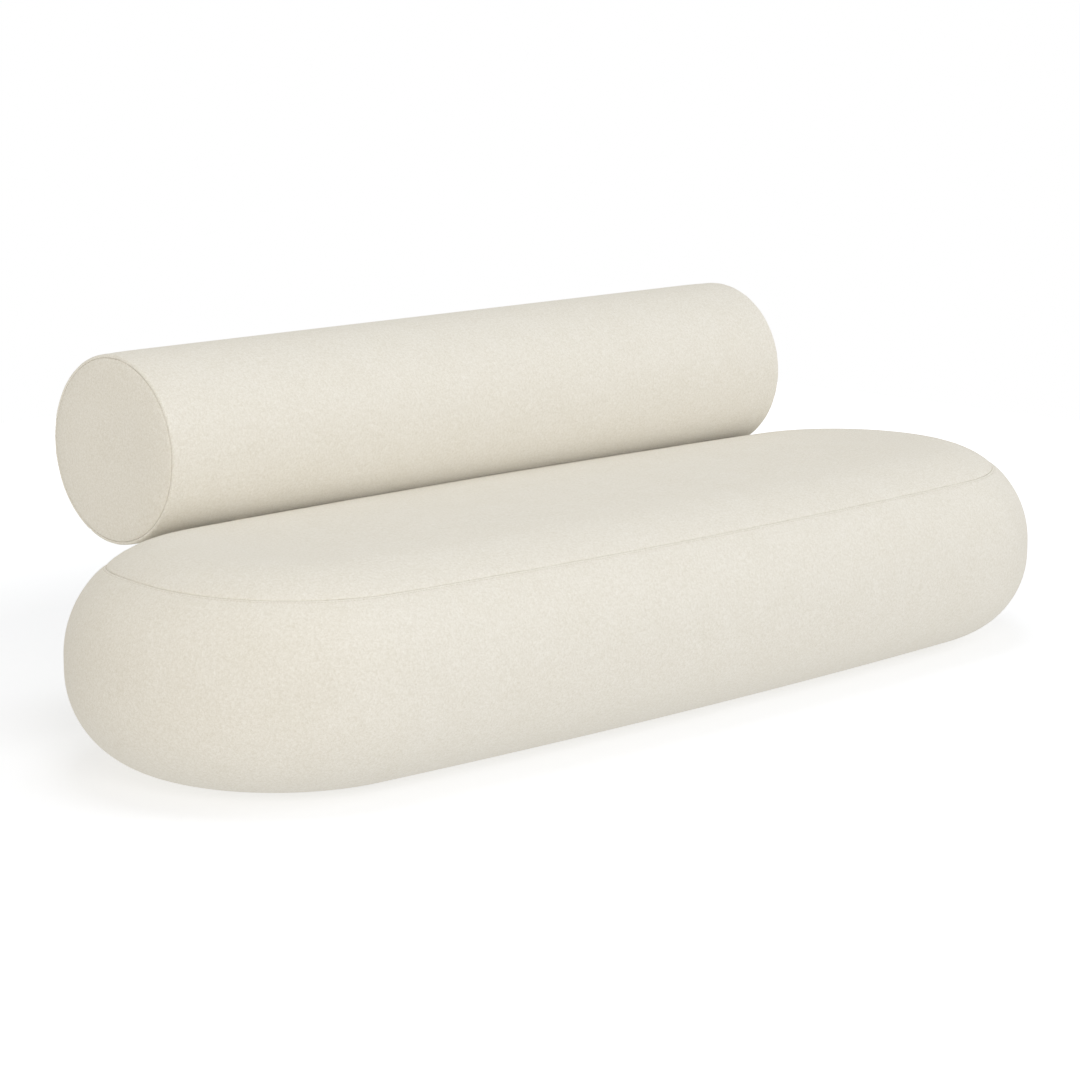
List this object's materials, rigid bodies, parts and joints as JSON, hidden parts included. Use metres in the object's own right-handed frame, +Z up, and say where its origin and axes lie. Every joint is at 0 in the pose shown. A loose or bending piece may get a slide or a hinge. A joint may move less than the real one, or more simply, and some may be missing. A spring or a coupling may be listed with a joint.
{
  "type": "sofa",
  "caption": "Low upholstered sofa: an oblong seat with rounded ends and bullnose edges, and a straight cylindrical bolster along its back, in cream felted fabric.",
  "frame": {"origin": "on the floor, at the centre of the whole sofa's box", "axes": "+Z up, +X along the length to the right of someone who faces the seat, -Y the front"},
  "size_m": [2.2996, 0.9818, 0.6967],
  "materials": {
    "cream_felt": "cream felted wool, fine speckle, matte",
    "dust_cloth": "black non-woven underside cloth",
    "firm_foam": "firm polyurethane foam",
    "seat_foam": "high-resilience polyurethane foam",
    "soft_foam": "soft polyurethane foam with fibre wrap",
    "webbing": "woven elastic webbing",
    "plywood": "birch plywood",
    "beech": "planed solid beech",
    "post_paint": "cream powder coat on square steel tube",
    "zinc": "zinc plated",
    "glide_plastic": "black moulded polypropylene",
    "core_board": "wound board tube"
  },
  "bodies": {
    "root": {"back_post_left": "post_paint", "back_post_middle": "post_paint", "back_post_right": "post_paint", "back_rail": "beech", "base_board": "plywood", "base_screws": "zinc", "bolster_end_cover_left": "cream_felt", "bolster_end_cover_right": "cream_felt", "bolster_end_pad_left": "soft_foam", "bolster_end_pad_right": "soft_foam", "bolster_foam": "seat_foam", "bolster_sleeve": "cream_felt", "bottom_cloth": "dust_cloth", "core_bolts": "zinc", "core_bulkhead_left": "plywood", "core_bulkhead_middle": "plywood", "core_bulkhead_right": "plywood", "core_end_disc_left": "plywood", "core_end_disc_right": "plywood", "core_nuts": "zinc", "core_tube": "core_board", "cross_rib_1": "plywood", "cross_rib_2": "plywood", "cross_rib_3": "plywood", "cross_rib_4": "plywood", "cross_rib_5": "plywood", "cross_rib_6": "plywood", "cross_strap_1": "webbing", "cross_strap_2": "webbing", "cross_strap_3": "webbing", "cross_strap_4": "webbing", "cross_strap_5": "webbing", "cross_strap_6": "webbing", "deck_ring": "plywood", "deck_screws": "zinc", "edge_foam": "firm_foam", "end_rib_left_back": "plywood", "end_rib_left_centre": "plywood", "end_rib_left_front": "plywood", "end_rib_right_back": "plywood", "end_rib_right_centre": "plywood", "end_rib_right_front": "plywood", "front_rail": "beech", "glide_back_left": "glide_plastic", "glide_back_middle": "glide_plastic", "glide_back_right": "glide_plastic", "glide_front_left": "glide_plastic", "glide_front_middle": "glide_plastic", "glide_front_right": "glide_plastic", "glide_screws": "zinc", "long_strap_back": "webbing", "long_strap_front": "webbing", "rail_bolts": "zinc", "rail_nuts": "zinc", "seat_foam": "seat_foam", "seat_side_cover": "cream_felt", "seat_top_cover": "cream_felt", "seat_topper": "soft_foam"}
  },
  "joints": []
}
